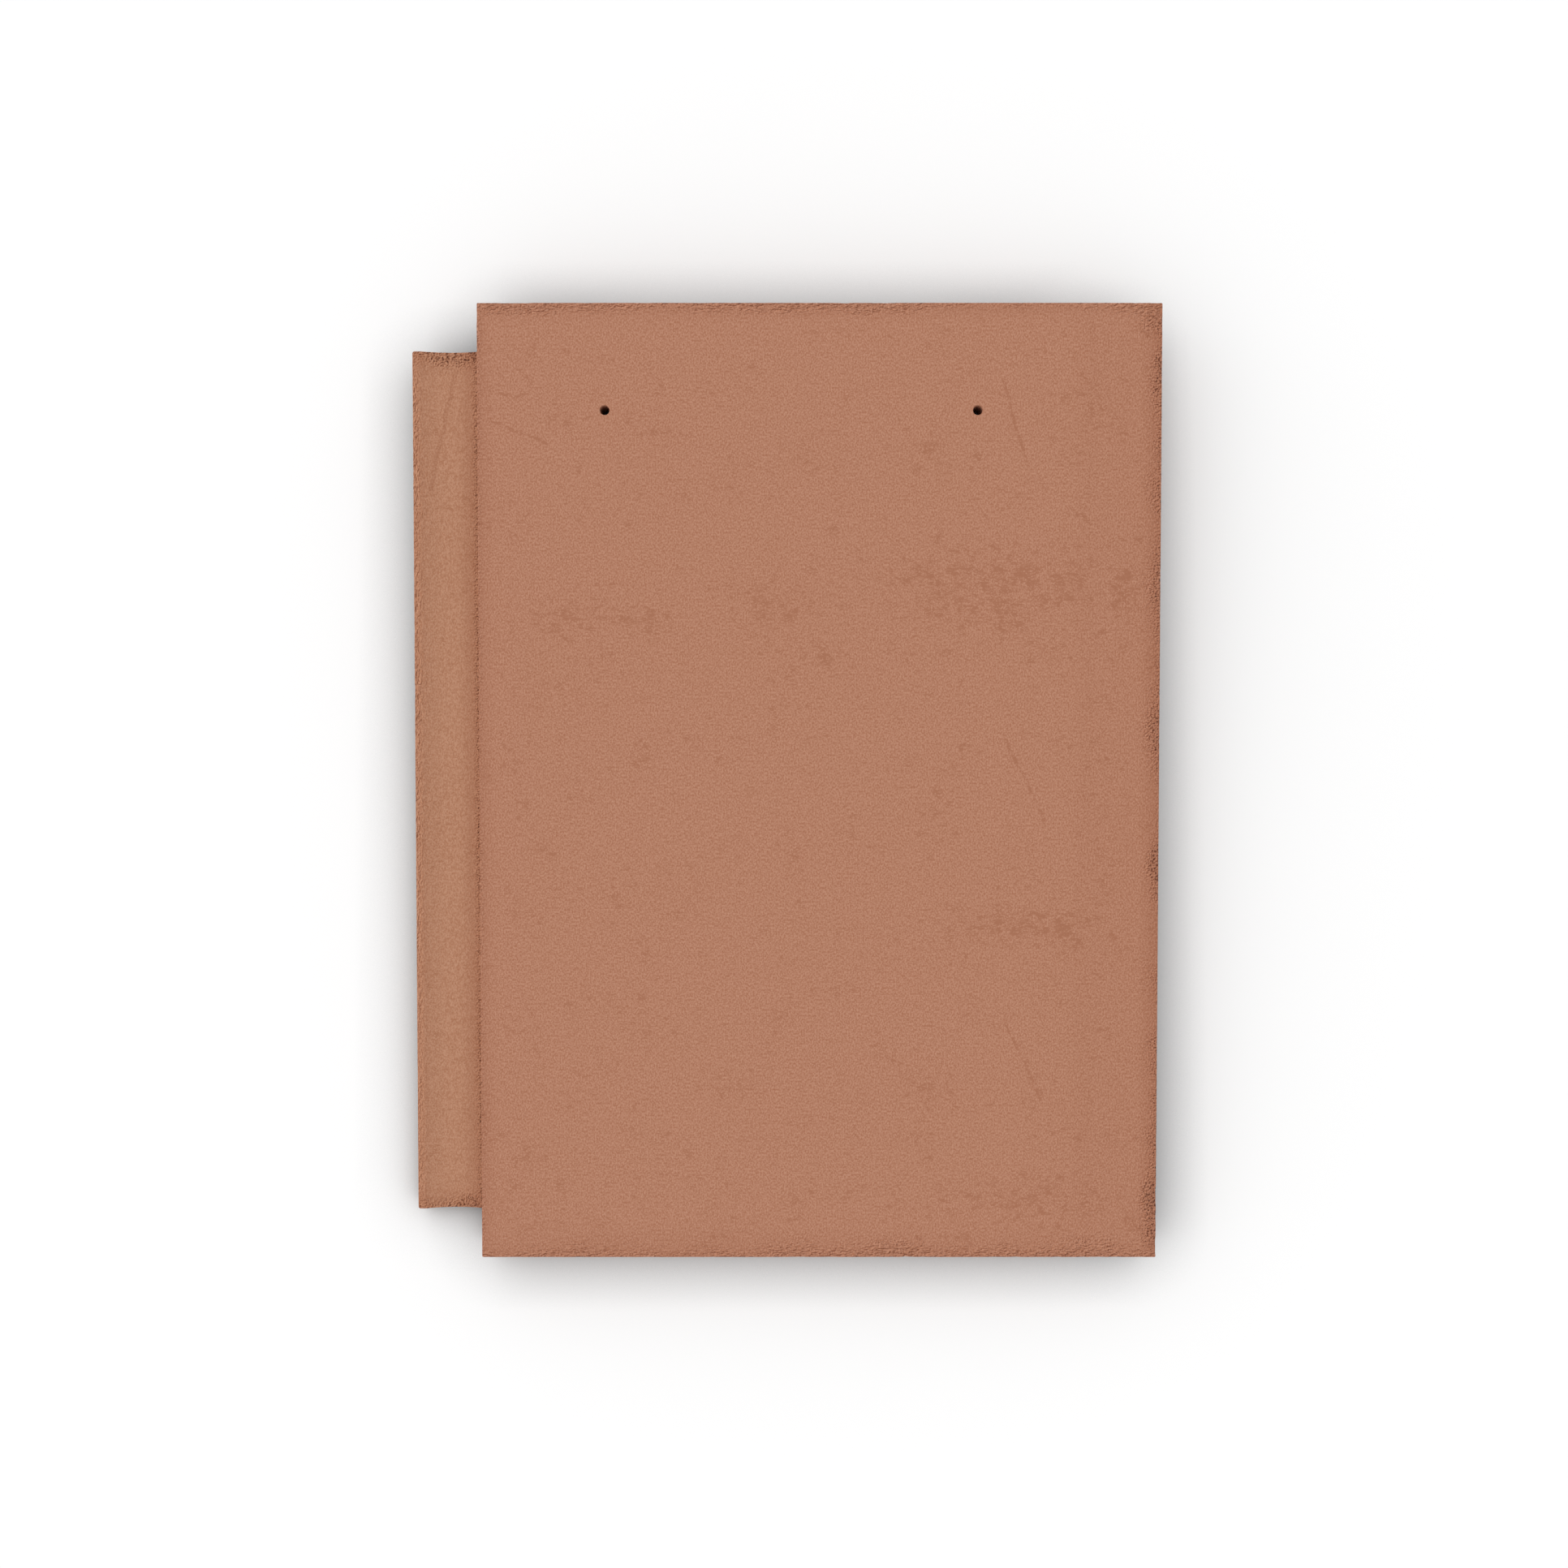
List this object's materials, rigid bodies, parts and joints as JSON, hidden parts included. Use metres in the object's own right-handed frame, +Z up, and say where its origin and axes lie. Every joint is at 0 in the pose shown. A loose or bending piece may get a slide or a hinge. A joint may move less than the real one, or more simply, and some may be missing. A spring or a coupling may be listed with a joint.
{
  "type": "concrete roof tile",
  "caption": "Flat interlocking concrete roof tile with a low troughed side lap, a beaded cover flap, hollowed underside, hanging nibs and nail holes.",
  "frame": {"origin": "On the floor, under the middle of the tile's bounding box as it lies loose on its tail edge and its two nibs", "axes": "+X across the tile from the low side lap to the cover flap, +Y from the tail to the head, +Z up. The tile leans 1.82 degrees about X, with the head raised by the nibs"},
  "size_m": [0.33, 0.4206, 0.0363],
  "materials": {
    "concrete": "matte, through-coloured concrete"
  },
  "bodies": {
    "root": {"roof_tile": "concrete"}
  },
  "joints": []
}
